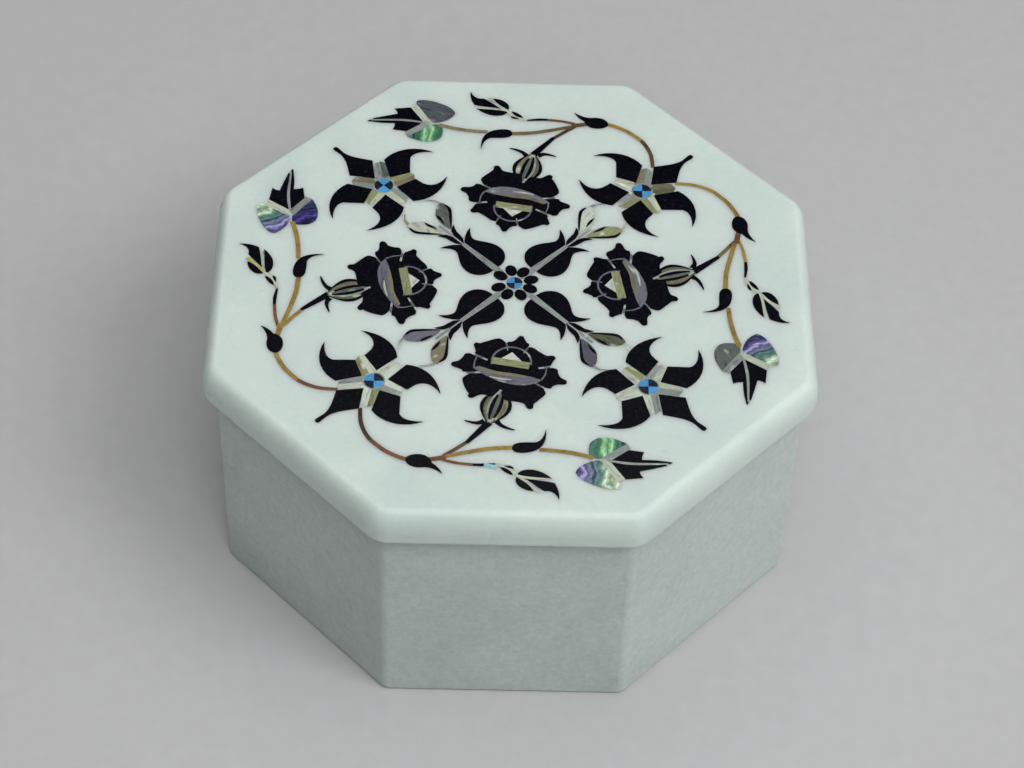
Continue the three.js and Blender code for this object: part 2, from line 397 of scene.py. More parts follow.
def corner_motif(corner, outward):
    flower = polar(FLOWER_PLACE, outward)
    disc_piece = piece(f"flower_{corner}_disc_stone", "turquoise", f"flower_{corner}_disc")
    shell_piece = piece(f"flower_{corner}_strips", "shell")
    quarter = 45 if corner == "back_left" else 90
    for i in range(4):
        first = quarter + 90 * i
        tint = "sky" if i % 2 == 0 else "ink"
        stone(disc_piece, disc(1.62, flower, 9, first, first + 90), tint, flower, first)
    stone(shell_piece, disc(1.86, flower), "grey", flower, outward)
    shapes = [tail_petal(), side_petal(), mirrored(inner_petal()), inner_petal(), mirrored(side_petal())]
    for i, shape in enumerate(shapes):
        turn = outward + PETAL_PITCH * i
        name = piece(f"flower_{corner}_petal_{i + 1}_stone", "dark_stone", f"flower_{corner}_petal_{i + 1}")
        stone(name, turned(shape, turn, flower), "night", flower, turn)
    for (bisector, length), (left, right) in zip(STRIPS, STRIP_TINTS[corner]):
        half = path((1.4, 0.0), [(length, 0.0)], [(length - 0.55, 1.02)], [(1.3, 1.7)])
        turn = outward + bisector
        stone(shell_piece, turned(half, turn, flower), left, flower, turn)
        stone(shell_piece, turned(mirrored(half), turn, flower), right, flower, turn)

    stem_piece = piece(f"heart_{corner}_stem", "shell")
    stem = path((1.5, -0.2), [(3.4, -0.62)], [(12.6, -0.14)], [(12.6, 0.14)], [(3.4, 0.62)], [(1.5, 0.2)])
    stone(stem_piece, turned(stem, outward, CENTRE), "grey", CENTRE, outward)
    for name, shape in (("left", half_heart()), ("right", mirrored(half_heart()))):
        heart = piece(f"heart_{corner}_{name}_stone", "dark_stone", f"heart_{corner}_{name}")
        stone(heart, turned(shape, outward, CENTRE), "night", CENTRE, outward)
    buds(corner, outward)


# The tints of the two buds and their tails at each corner, the one to the left of outward first
BUD_TINTS = {
    "front_right": (("moss", "cream"), ("mauve", "grey")),
    "back_right": (("pearl", "grey"), ("olive", "cream")),
    "back_left": (("cream", "olive"), ("smoke", "grey")),
    "front_left": (("brown_grey", "grey"), ("lilac", "cream")),
}


def buds(corner, outward):
    """Dark slivers beyond the heart, and the two shell buds that lean out of them."""
    dark = piece(f"calyx_{corner}_dark", "dark_stone")
    light = piece(f"calyx_{corner}_shell", "shell", f"calyx_{corner}")

    def put(name, shape, tint):
        stone(name, turned(shape, outward, CENTRE), tint, CENTRE, outward)

    sliver = path((12.3, 0.12), [(13.4, 0.9)], [(14.3, 1.15), (15.3, 1.2)], [(16.0, 1.5), (16.8, 1.95)],
                  [(16.6, 1.1), (16.0, 0.6)], [(14.8, 0.14)])
    middle = path((14.6, -0.28), [(18.3, -0.2)], [(18.5, 0.0)], [(18.3, 0.2)], [(14.6, 0.28)])
    outer = [(16.4, 0.8), (17.3, 1.75), (18.6, 2.95), (20.1, 4.05), (21.9, 4.15)]
    inner = [(22.1, 3.1), (21.3, 1.95), (20.1, 1.0), (18.3, 0.6)]
    bud = outer + inner
    edge = ribbon([(16.6, 1.1), (18.1, 2.5), (20.0, 4.0), (21.4, 4.1)], [0.2, 0.45, 0.6, 0.3])
    wedge = path((18.0, 0.85), [(19.2, 0.75), (20.7, 1.35)], [(19.6, 1.9), (18.0, 0.85)])
    tail = ribbon([(21.8, 3.7), (23.3, 3.4), (24.4, 2.4)], [0.75, 0.35, 0.1])
    for side, tints in zip((1, -1), BUD_TINTS[corner]):
        flip = (lambda s: s) if side > 0 else mirrored
        put(dark, flip(edge), "night")
        put(dark, flip(wedge), "night")
        put(dark, flip(sliver), "night")
        put(light, flip(smooth(bud)), tints[0])
        put(light, flip(tail), tints[1])
    put(light, middle, "grey")


# The middle of the lid


def centre_motif():
    middle = piece("centre_disc_stone", "turquoise", "centre_disc")
    for i in range(4):
        first = 90 + 90 * i
        stone(middle, disc(1.34, CENTRE, 9, first, first + 90), "sky" if i % 2 == 0 else "ink", CENTRE, first)
    ovals = piece("centre_ovals", "dark_stone")
    for diagonal in (-137, -47, 38, 124):
        for lean in (-22, 22):
            x, y = polar(2.88, diagonal + lean)
            at = (CENTRE[0] + x, CENTRE[1] + y)
            stone(ovals, oval(1.28, 0.98, at, diagonal + lean * 0.8), "night", at, diagonal)


# The four sides, drawn on the right side and moved to the others

SIDES_OF_LID = {
    "right": lambda p: (p[0], p[1]),
    "back": lambda p: (p[1], p[0]),
    "left": lambda p: (-p[0], -p[1]),
    "front": lambda p: (-p[1], -p[0]),
}
ROSE_CENTRE = (19.6, 0.0)

# Each petal of the rose: where it starts and ends, its knob and the knob's reach, then its edge
# at the start, on the two shoulders and at the end. Angles in degrees from the outward direction.
ROSE_PETALS = [
    (-56, 19.5, -21, 8.7, 6.3, 7.6, 6.6, 5.0),
    (24, 84, 49, 9.0, 4.9, 6.7, 8.4, 6.9),
    (86, 118.5, 98, 9.9, 7.4, 8.1, 8.5, 7.8),
    (120.5, 172, 133, 8.4, 6.8, 7.2, 7.5, 6.2),
    (172, 208, 192, 7.8, 6.1, 6.4, 6.7, 6.2),
    (208, 260, 247, 7.8, 6.0, 6.3, 6.8, 5.9),
    (262.5, 303, 285.5, 9.3, 6.8, 7.7, 7.5, 6.6),
]


def rose_petal(start, end, knob, reach, first, before, after, last):
    """A petal from its start to its end. Its edge swells to a shoulder on each side of the knob."""
    inner = 3.0
    foot = math.degrees(0.95 / reach)
    tip = math.degrees(0.62 / reach)
    near, far = knob - foot, knob + foot
    knots = [
        polar(first, start + 0.5),
        polar(mix(first, before, 0.85), mix(start, near, 0.25)),
        polar(before, mix(start, near, 0.65)),
        polar(mix(before, reach, 0.3), near),
        polar(reach - 0.45, knob - tip),
        polar(reach, knob - tip * 0.45),
        polar(reach, knob + tip * 0.45),
        polar(reach - 0.45, knob + tip),
        polar(mix(after, reach, 0.3), far),
        polar(after, mix(end, far, 0.65)),
        polar(mix(last, after, 0.85), mix(end, far, 0.25)),
        polar(last, end - 0.5),
    ]
    line = smooth(knots, closed=False, steps=5)
    return [polar(inner, start + 2)] + line + [polar(inner, end - 2)]


def side_motif(side, move):
    def put(name, shape, tint, origin=ROSE_CENTRE, degrees=0):
        stone(name, shape, tint, origin, degrees, move)

    # Rose: the eye, the crescent behind it and the joint lines lie over the petals
    petals = piece(f"rose_{side}_petals", "dark_stone", f"rose_{side}")
    light = piece(f"rose_{side}_shell", "shell")
    at = ROSE_CENTRE

    def rose(points):
        return [(at[0] + x, at[1] + y) for x, y in points]

    eye_at, eye_turn = (-1.7, 0.1), 10
    put(light, rose(turned([(-0.7, -1.7), (-0.7, 1.7), (-2.35, 0.2)], eye_turn, eye_at)), "pearl", degrees=90)
    strip = [(-0.7, -3.1), (0.75, -3.1), (0.75, 3.1), (-0.7, 3.1)]
    put(light, rose(turned(strip, eye_turn, eye_at)), "olive", degrees=90)
    ring = ribbon([(-1.9 + x, y) for x, y in (polar(3.25, a) for a in range(80, 281, 20))], [0.32, 0.32])
    put(light, rose(ring), "lilac", degrees=90)
    glint = ribbon([(1.3, 3.6), (1.75, 1.8), (1.95, 0.0)], [0.15, 0.38, 0.15])
    put(light, rose(glint), "cream", degrees=90)
    streak = ribbon([(-0.75, 5.4), (0.45, 2.7), (0.85, 0.0), (1.25, -2.6)], [0.4, 0.7, 0.7, 0.3])
    put(light, rose(streak), "brown_grey", degrees=90)
    crescent = path((1.9, -5.0), [(3.9, -3.0), (3.6, 1.6), (-0.3, 6.1)], [(-0.9, 5.6)],
                    [(0.35, 3.0), (0.7, -0.6), (1.2, -3.2)])
    put(light, rose(crescent), "lilac", degrees=90)
    for radii, angles in (((6.15, 6.3, 6.4), (94, 107, 119)), ((5.3, 5.6, 5.8), (-70, -84, -97))):
        line = ribbon([polar(r, a) for r, a in zip(radii, angles)], [0.34, 0.16])
        put(light, rose(line), "lilac", degrees=90)
    for angle, near, far in ((85.0, 6.0, 7.3), (119.5, 5.4, 6.9), (172, 5.0, 5.9), (208, 4.3, 5.8),
                             (261.5, 5.4, 6.4), (304, 4.8, 6.0)):
        line = ribbon([polar(near, angle), polar(far, angle)], [0.28, 0.34])
        put(light, rose(line), "smoke", degrees=angle)
    for row in ROSE_PETALS:
        wobble = RNG.uniform(-1, 1)
        start, end, knob, reach = row[:4]
        put(petals, rose(rose_petal(start, end, knob + wobble, reach, *row[4:])), "night", degrees=knob)
    put(petals, rose(disc(4.5)), "night")

    # Bud beyond the rose: stripes that follow its bulging sides
    bud_light = piece(f"bud_{side}_shell", "shell", f"bud_{side}")
    bud_dark = piece(f"bud_{side}_dark", "dark_stone")
    bud_at, bud_turn, bud_length = (23.0, 1.2), 16.5, 8.3

    def half_width(t):
        return 2.6 * math.sin(math.pi * min(max((t - 0.03) / 1.01, 0), 1))

    def stripe(low, high, first, last):
        count = 10
        bottom, top = [], []
        for i in range(count + 1):
            t = mix(first, last, i / count)
            bottom.append((t * bud_length, low * half_width(t)))
            top.append((t * bud_length, high * half_width(t)))
        return turned(bottom + top[::-1], bud_turn, bud_at)

    def bud(name, shape, tint):
        put(name, shape, tint, bud_at, bud_turn)

    for low, high, first, last, name, tint in (
            (0.76, 1.0, 0.24, 0.99, bud_dark, "night"),
            (0.52, 0.76, 0.25, 0.99, bud_light, "moss"),
            (0.36, 0.52, 0.22, 0.99, bud_light, "grey"),
            (0.1, 0.36, 0.24, 0.9, bud_dark, "night"),
            (-0.16, 0.1, 0.12, 0.9, bud_light, "smoke"),
            (-0.4, -0.16, 0.22, 0.84, bud_dark, "night"),
            (-0.74, -0.4, 0.26, 0.99, bud_light, "brown_grey"),
            (-1.0, -0.74, 0.24, 0.99, bud_dark, "night")):
        bud(name, stripe(low, high, first, last), tint)
    bud(bud_light, ribbon([(22.6, 1.1), (23.6, 1.35), (25.4, 1.9)], [0.5, 0.65, 0.8]), "grey")
    for route, widths in (
            ([(30.5, 4.3), (30.9, 5.3), (30.8, 6.3), (30.4, 7.5)], [1.1, 0.75, 0.5, 0.15]),
            ([(30.3, 2.4), (31.2, 1.7), (31.8, 0.7), (32.25, -0.6)], [1.1, 0.7, 0.55, 0.15]),
            ([(30.7, 3.5), (32.8, 5.2), (35.1, 7.1)], [1.4, 1.05, 0.65])):
        bud(bud_dark, ribbon(route, widths), "night")

    vine(side, move)
    big_leaf(side, move)


# The stems' colours on each side: by the flower, by the first leaf, beyond it, the middle, the
# last, to the bud and to the bud leaf
VINE_TINTS = {
    "right": ("ochre", "ochre", "russet", "ochre", "ochre", "olive_brown", "ochre"),
    "back": ("umber", "ochre", "umber", "olive_brown", "brown_grey", "bark", "russet"),
    "left": ("russet", "ochre", "ochre", "ochre", "ochre", "ochre", "russet"),
    "front": ("bark", "russet", "russet", "ochre", "ochre", "umber", "russet"),
}


def vine(side, move):
    stems = piece(f"vine_{side}_stems", "jasper", f"vine_{side}")
    leaves = piece(f"vine_{side}_leaves", "dark_stone")
    flower_end, leaf_end, upper, middle, last, to_bud, to_leaf = VINE_TINTS[side]

    def put(name, shape, tint, origin, degrees):
        stone(name, shape, tint, origin, degrees, move)

    put(leaves, path((38.8, 16.8), [(40.0, 16.7), (40.6, 15.3), (40.35, 13.9)],
                     [(40.25, 13.0), (40.7, 11.9), (41.6, 10.8)], [(40.6, 11.2), (39.9, 11.8), (39.4, 12.5)],
                     [(38.5, 12.7), (37.7, 13.4), (37.65, 14.6)], [(37.6, 15.8), (38.1, 16.8), (38.8, 16.8)]),
        "night", (38.9, 16.8), -75)
    put(leaves, path((35.9, -0.2), [(36.9, -0.2), (37.1, -1.2), (36.9, -2.5)],
                     [(36.6, -4.4), (35.5, -5.9), (31.9, -5.7)], [(33.6, -5.3), (34.5, -4.9), (34.7, -3.9)],
                     [(34.8, -2.6), (34.5, -0.3), (35.9, -0.2)]), "night", (35.9, -0.2), -95)
    bend = (34.9, 22.5)
    put(stems, ribbon([(28.2, 24.4), (31.0, 24.2), (33.2, 23.5), bend], [0.66, 0.74]),
        flower_end, (28, 24), -20)
    put(stems, ribbon([bend, (37.0, 20.2), (38.3, 17.9), (38.9, 16.2)], [0.74, 0.8]), leaf_end, (35, 22), -55)
    put(stems, ribbon([(38.7, 13.0), (38.5, 11.9), (38.2, 10.3)], [0.8, 1.0]), upper, (38, 13), -90)
    put(stems, ribbon([(38.2, 10.9), (37.5, 8.6), (36.8, 6.0)], [0.7, 0.78]), middle, (38, 11), -108)
    put(stems, ribbon([(36.8, 6.0), (36.2, 3.2), (35.9, -0.4)], [0.78, 0.82]), middle, (37, 6), -100)
    put(stems, ribbon([(36.2, -4.6), (36.4, -7.4), (36.9, -10.4), (37.7, -13.2)], [0.74, 0.82]),
        last, (36, -5), -80)
    put(stems, ribbon([(38.0, 10.8), (36.6, 9.0), (35.0, 7.1)], [0.7, 0.64]), to_bud, (38, 11), -130)
    put(stems, ribbon([(38.7, 10.9), (39.3, 8.6), (39.6, 6.0)], [0.56, 0.56]), to_leaf, (39, 11), -78)
    if side == "front":
        bit = piece("vine_front_bit", "turquoise")
        put(bit, ribbon([(39.5, 4.2), (40.0, 2.2)], [0.6, 0.75]), "pale_sky", (39.6, 4), -78)
    put(leaves, ribbon([(39.6, 6.2), (39.6, 4.4), (39.35, 2.4)], [0.5, 0.62, 0.3]), "night", (39.6, 6), -92)
    bud_leaf(side, move)


def bud_leaf(side, move):
    dark = piece(f"bud_leaf_{side}_dark", "dark_stone", f"bud_leaf_{side}")
    light = piece(f"bud_leaf_{side}_shell", "shell")

    def put(name, shape, tint):
        stone(name, shape, tint, (41.6, -1.0), -66, move)

    put(dark, smooth([(40.0, 1.65), (40.7, 1.2), (41.35, 0.3), (41.5, -0.35), (40.9, -0.1), (40.2, 0.7)]),
        "night")
    put(dark, smooth([(39.7, 1.0), (40.1, 0.3), (40.3, -0.5), (39.85, -0.3), (39.65, 0.3)]), "night")
    put(light, ribbon([(39.4, 2.5), (39.9, 1.0), (40.7, -0.2), (41.7, -1.1)], [0.35, 0.75, 0.9, 0.5]),
        "cream")
    put(light, ribbon([(41.6, -1.0), (42.1, -3.2), (42.2, -6.2)], [0.3, 0.5, 0.25]), "cream")
    outer_vein = "yellow" if side == "left" else "cream"
    put(light, ribbon([(41.8, -1.1), (43.2, -3.0), (44.8, -4.4)], [0.3, 0.5, 0.7]), outer_vein)
    for outline in (
            path((41.5, -0.95), [(40.0, -1.6), (39.7, -4.4), (42.1, -6.6)],
                 [(41.9, -4.4), (41.9, -2.8), (41.5, -0.95)]),
            path((41.9, -1.0), [(43.0, -0.3), (44.7, -1.6), (44.75, -3.7)],
                 [(43.7, -3.2), (42.6, -2.2), (41.9, -1.0)]),
            path((42.1, -2.2), [(43.0, -3.3), (44.3, -4.6), (44.7, -5.4)],
                 [(44.5, -6.6), (45.2, -7.3), (46.4, -7.7)], [(45.1, -7.9), (43.9, -7.5), (43.0, -7.0)],
                 [(42.6, -5.6), (42.5, -3.8), (42.1, -2.2)])):
        put(dark, outline, "night")


# The lobes of the large leaves: the inner one and the outer one, each with its finish, its tint
# and where its bands start
LOBES = {
    "right": (("shell", "smoke", None), ("abalone", "white", 0.0)),
    "back": (("abalone", "leaf", 0.62), ("shell", "slate", None)),
    "left": (("abalone", "violet", 0.02), ("abalone", "white", 0.1)),
    "front": (("abalone", "leaf", 0.55), ("abalone", "white", 0.12)),
}


def big_leaf(side, move):
    dark = piece(f"big_leaf_{side}_tip", "dark_stone", f"big_leaf_{side}")
    light = piece(f"big_leaf_{side}_shell", "shell")
    bright = piece(f"big_leaf_{side}_abalone", "shell")

    def put(name, shape, tint, origin=(37.9, -15.4), degrees=-88, phase=None):
        stone(name, shape, tint, origin, degrees, move, phase)

    put(light, ribbon([(38.2, -15.6), (38.65, -18.5), (38.75, -21.0), (38.6, -25.2)],
                      [0.35, 0.52, 0.45, 0.28]), "grey")
    put(light, path((38.1, -14.4), [(42.6, -17.1)], [(41.9, -18.25)], [(38.3, -15.9)]), "cream", degrees=-38)
    put(light, path((37.6, -14.6), [(38.2, -15.9)], [(35.7, -19.2)], [(34.6, -18.7)]), "grey", degrees=-125)
    put(dark, path((38.3, -15.9), [(35.9, -18.9)], [(36.3, -21.4)], [(36.9, -21.0), (37.9, -21.0)],
                   [(37.8, -23.5), (38.3, -25.9)], [(38.7, -25.6), (38.7, -25.0)],
                   [(38.8, -20.0), (38.3, -15.9)]),
        "night")
    put(dark, path((38.3, -15.8), [(42.0, -18.3)], [(41.6, -21.2)], [(41.0, -20.6), (40.3, -20.6)],
                   [(39.8, -22.5), (39.0, -25.0)], [(38.7, -24.8), (38.6, -24.0)],
                   [(38.8, -20.0), (38.3, -15.8)]),
        "night")
    inner = smooth([(37.6, -12.9), (36.2, -12.5), (34.6, -12.8), (33.6, -14.0), (33.5, -15.9), (34.1, -17.7),
                    (34.9, -18.6), (36.4, -16.8), (37.7, -14.9)])
    outer = smooth([(38.3, -14.4), (38.4, -13.0), (39.2, -11.5), (40.7, -10.4), (42.2, -11.4), (43.3, -13.4),
                    (43.9, -15.3), (43.8, -17.1), (42.6, -17.2), (40.2, -15.9)])
    bands = (((34.5, -12.5), -80), ((40.9, -10.2), -74))
    for (finish, tint, phase), shape, (at, turn) in zip(LOBES[side], (inner, outer), bands):
        put(bright if finish == "abalone" else light, shape, tint, at, turn, phase)


for corner_name, corner_turn in CORNERS.items():
    if corner_name == "front_right":
        centre_motif()
    corner_motif(corner_name, corner_turn)
for side_name, side_move in SIDES_OF_LID.items():
    side_motif(side_name, side_move)

# The mosaic: one triangulation of the lid's flat, so neighbours meet without gaps


def holds(outline, x, y):
    """True if the point is inside the outline."""
    inside = False
    x2, y2 = outline[-1]
    for x1, y1 in outline:
        if (y1 > y) != (y2 > y) and x < x1 + (y - y1) / (y2 - y1) * (x2 - x1):
            inside = not inside
        x2, y2 = x1, y1
    return inside


def reach_of(outline):
    xs, ys = [p[0] for p in outline], [p[1] for p in outline]
    return min(xs), min(ys), max(xs), max(ys)


def triangulate(border):
    """Triangles of the lid's flat, each with the number of its stone, or None for marble."""
    spots, edges = [], []
    for outline in [border] + [s["outline"] for s in STONES]:
        first, count = len(spots), len(outline)
        edges.extend((first + i, first + (i + 1) % count) for i in range(count))
        spots.extend(Vector((x, y)) for x, y in outline)
    points, _, triangles, *_ = delaunay_2d_cdt(spots, edges, [], 0, 1e-4)
    reaches = [reach_of(s["outline"]) for s in STONES]
    found = []
    for triangle in triangles:
        corners = [points[i] for i in triangle]
        x = sum(c.x for c in corners) / 3
        y = sum(c.y for c in corners) / 3
        owner = None
        for number, (x_low, y_low, x_high, y_high) in enumerate(reaches):
            if x_low < x < x_high and y_low < y < y_high and holds(STONES[number]["outline"], x, y):
                owner = number
                break
        found.append((corners, owner))
    return found


LID_CORNER = 5.3
LID_ROUND = 2.3
LID_ROUND_TALL = 4.6
LID_UNDER_ROUND = 1.2
UP = (0.0, 0.0, 1.0)
DOWN = (0.0, 0.0, -1.0)

top_rings = rounded(LID_WIDTH, LID_CORNER, LID_TOP, LID_ROUND, 0, 90, True, LID_ROUND_TALL)
border_ring = [point for point, _ in top_rings[-1]]
mosaic = triangulate([(p[0], p[1]) for p in border_ring])


def walls(skin, triangles, z_low, z_high, key, outward):
    """Walls below the outline of a group of triangles."""
    sides = {}
    for triangle in triangles:
        for i in range(3):
            a, b = triangle[i], triangle[(i + 1) % 3]
            a, b = (round(a[0], 5), round(a[1], 5)), (round(b[0], 5), round(b[1], 5))
            if (b, a) in sides:
                del sides[(b, a)]
            else:
                sides[(a, b)] = True
    for a, b in sides:
        size = math.hypot(b[0] - a[0], b[1] - a[1])
        if size < 1e-6:
            continue
        normal = ((b[1] - a[1]) / size, (a[0] - b[0]) / size, 0.0)
        four = [(*a, z_low), (*b, z_low), (*b, z_high), (*a, z_high)]
        if not outward:
            four.reverse()
            normal = (-normal[0], -normal[1], 0.0)
        skin.face(four, [normal] * 4, key)


def lid_piece():
    skin = Skin()
    step_corner = CAVITY_CORNER - STEP_CLEARANCE
    step_low = octagon_ring(STEP_WIDTH - 2 * STEP_CHAMFER, step_corner - STEP_CHAMFER, STEP_BOTTOM, 0)
    step_mid = octagon_ring(STEP_WIDTH, step_corner, STEP_BOTTOM + STEP_CHAMFER, 0)
    step_high = octagon_ring(STEP_WIDTH, step_corner, BOX_HEIGHT, 0)
    skin.cap(step_low, DOWN)
    slant = [(p, (n[0], n[1], -1.0)) for p, n in step_low]
    slant_high = [(p, (n[0], n[1], -1.0)) for p, n in step_mid]
    skin.between(slant, slant_high)
    skin.between(step_mid, step_high)
    under = rounded(LID_WIDTH, LID_CORNER, BOX_HEIGHT, LID_UNDER_ROUND, -90, 0, False)
    ledge = [(p, DOWN) for p, _ in step_high]
    skin.between(ledge, [(p, DOWN) for p, _ in under[0]])
    for low, high in zip(under, under[1:]):
        skin.between(low, high)
    skin.between(under[-1], top_rings[0])
    for low, high in zip(top_rings, top_rings[1:]):
        skin.between(low, high)
    pocket = []
    for triangle, number in mosaic:
        z = LID_TOP if number is None else POCKET_FLOOR
        skin.face([(p[0], p[1], z) for p in triangle], [UP] * 3)
        if number is not None:
            pocket.append(triangle)
    walls(skin, pocket, POCKET_FLOOR, LID_TOP, None, False)
    return skin.make("lid_marble")


def box_piece():
    skin = Skin()
    foot = rounded(BOX_WIDTH, BOX_CORNER, 0.0, FOOT_ROUND, -90, 0, False)
    rim = rounded(BOX_WIDTH, BOX_CORNER, BOX_HEIGHT, RIM_ROUND, 0, 90, True)
    skin.cap(foot[0], DOWN)
    for low, high in zip(foot, foot[1:]):
        skin.between(low, high)
    skin.between(foot[-1], rim[0])
    for low, high in zip(rim, rim[1:]):
        skin.between(low, high)
    # The cavity, from its rounded rim to its rounded floor
    cavity = []
    for step in range(ROUND_STEPS + 1):
        rise = 90 * step / ROUND_STEPS
        inset = RIM_ROUND * (1 - math.cos(math.radians(90 - rise)))
        width = CAVITY_WIDTH + 2 * (RIM_ROUND - inset)
        corner = CAVITY_CORNER + (width - CAVITY_WIDTH) / 2
        z = BOX_HEIGHT - RIM_ROUND * (1 - math.cos(math.radians(rise)))
        cavity.append(inward(octagon_ring(width, corner, z, 90 - rise)))
    for step in range(ROUND_STEPS + 1):
        rise = 90 * step / ROUND_STEPS
        turn = math.radians(rise)
        inset = CAVITY_ROUND * (1 - math.cos(turn))
        z = FLOOR + CAVITY_ROUND * (1 - math.sin(turn))
        cavity.append(inward(octagon_ring(CAVITY_WIDTH - 2 * inset, CAVITY_CORNER - inset, z, rise)))
    rim_top = [(p, UP) for p, _ in rim[-1]]
    skin.between(rim_top, [(p, UP) for p, _ in cavity[0]])
    for low, high in zip(cavity, cavity[1:]):
        skin.between(low, high)
    skin.cap([(p, UP) for p, _ in cavity[-1]], UP)
    return skin.make("box_marble")


def stone_pieces():
    """One object for each named piece, closed stones that reach down to the pocket's floor."""
    groups = {}
    for triangle, number in mosaic:
        if number is not None:
            groups.setdefault(number, []).append(triangle)
    skins = {name: Skin() for name in PIECES}
    for number, triangles in sorted(groups.items()):
        setting = STONES[number]
        skin = skins[setting["piece"]]
        for triangle in triangles:
            top = [(p[0], p[1], LID_TOP) for p in triangle]
            low = [(p[0], p[1], POCKET_FLOOR) for p in triangle]
            skin.face(top, [UP] * 3, number)
            skin.face(low[::-1], [DOWN] * 3, number)
        walls(skin, triangles, POCKET_FLOOR, LID_TOP, number, True)
        c = math.cos(math.radians(setting["degrees"]))
        s = math.sin(math.radians(setting["degrees"]))
        for i in range(len(skin.points)):
            if i in skin.locals:
                continue
            x = skin.points[i][0] - setting["origin"][0]
            y = skin.points[i][1] - setting["origin"][1]
            third = setting["seed"] if setting["phase"] is None else setting["phase"]
            skin.locals[i] = (x * c + y * s, y * c - x * s, third)
            skin.tints[i] = (*(v * setting["shade"] for v in setting["tint"][:3]), 1.0)
    made = {}
    for name, skin in skins.items():
        if skin.faces:
            made[name] = skin.make(name)
    return made


# Materials


class Recipe:
    """A material's node tree, with short ways to add nodes and links."""

    def __init__(self, name):
        self.material = bpy.data.materials.new(name)
        self.material.use_nodes = True
        self.tree = self.material.node_tree
        self.shader = self.tree.nodes["Principled BSDF"]

    def node(self, kind, inputs=None, **settings):
        made = self.tree.nodes.new(kind)
        for key, value in settings.items():
            setattr(made, key, value)
        for key, value in (inputs or {}).items():
            self.give(made.inputs[key], value)
        return made

    def give(self, socket, value):
        if isinstance(value, bpy.types.NodeSocket):
            self.tree.links.new(value, socket)
        else:
            socket.default_value = value

    def set(self, **values):
        for key, value in values.items():
            self.give(self.shader.inputs[key.replace("_", " ")], value)

    def place(self):
        return self.node("ShaderNodeTexCoord").outputs["Object"]

    def noise(self, vector, scale, detail=3.0, roughness=0.55, distortion=0.0):
        return self.node("ShaderNodeTexNoise", {
            "Vector": vector, "Scale": scale, "Detail": detail, "Roughness": roughness,
            "Distortion": distortion,
        })

    def cells(self, vector, scale, feature="F1"):
        return self.node("ShaderNodeTexVoronoi", {"Vector": vector, "Scale": scale}, feature=feature)

    def ramp(self, value, stops, interpolation="LINEAR"):
        made = self.node("ShaderNodeValToRGB", {"Fac": value})
        made.color_ramp.interpolation = interpolation
        elements = made.color_ramp.elements
        while len(elements) < len(stops):
            elements.new(0.5)
        for element, (position, colour) in zip(elements, stops):
            element.position = position
            element.color = colour
        return made.outputs["Color"]

    def span(self, value, low, high, from_low=0.0, from_high=1.0):
        return self.node("ShaderNodeMapRange", {
            "Value": value, "From Min": from_low, "From Max": from_high, "To Min": low, "To Max": high,
        }).outputs["Result"]

    def sum(self, operation, first, second):
        made = self.node("ShaderNodeMath", operation=operation)
        self.give(made.inputs[0], first)
        self.give(made.inputs[1], second)
        return made.outputs[0]

    def blend(self, mode, share, first, second):
        made = self.node("ShaderNodeMix", data_type="RGBA", blend_type=mode)
        self.give(made.inputs[0], share)
        self.give(made.inputs[6], first)
        self.give(made.inputs[7], second)
        return made.outputs[2]

    def bump(self, height, strength, distance, normal=None):
        inputs = {"Height": height, "Strength": strength, "Distance": distance}
        if normal is not None:
            inputs["Normal"] = normal
        return self.node("ShaderNodeBump", inputs).outputs["Normal"]

    def attribute(self, name):
        return self.node("ShaderNodeAttribute", attribute_name=name, attribute_type="GEOMETRY")


def grey(value):
    return (value, value, value, 1.0)


def marble(name, light, shade, smooth_low, smooth_high, grain):
    """Fine white marble: drifting clouds, sugary crystals and faint darker specks."""
    r = Recipe(name)
    at = r.place()
    clouds = r.noise(at, 38, 5, 0.6, 0.6).outputs["Fac"]
    colour = r.ramp(clouds, [(0.3, shade), (0.56, light), (0.8, light)])
    sugar = r.noise(at, 1250, 4, 0.7).outputs["Fac"]
    sugar_shade = r.ramp(sugar, [(0.32, grey(1 - 0.9 * grain)), (0.68, grey(1.0))])
    colour = r.blend("MULTIPLY", 1.0, colour, sugar_shade)
    crystals = r.cells(at, 900)
    glitter = r.span(crystals.outputs["Color"], 1 - 0.5 * grain, 1 + 0.35 * grain)
    colour = r.blend("MULTIPLY", 1.0, colour, glitter)
    specks = r.noise(at, 420, 3, 0.6).outputs["Fac"]
    speck_shade = r.ramp(specks, [(0.26, grey(1 - 0.6 * grain)), (0.4, grey(1.0))])
    colour = r.blend("MULTIPLY", 1.0, colour, speck_shade)
    r.set(Base_Color=colour)
    rough = r.noise(at, 210, 4, 0.65).outputs["Fac"]
    r.set(Roughness=r.span(rough, smooth_low, smooth_high, 0.3, 0.7))
    wave = r.noise(at, 55, 2).outputs["Fac"]
    normal = r.bump(sugar, 0.35 * grain, 0.0002)
    r.set(Normal=r.bump(wave, 0.12, 0.0006, normal))
    r.set(Subsurface_Weight=0.7, Subsurface_Radius=(1.0, 1.0, 0.95), Subsurface_Scale=0.003,
          Specular_IOR_Level=0.27, IOR=1.49)
    return r.material


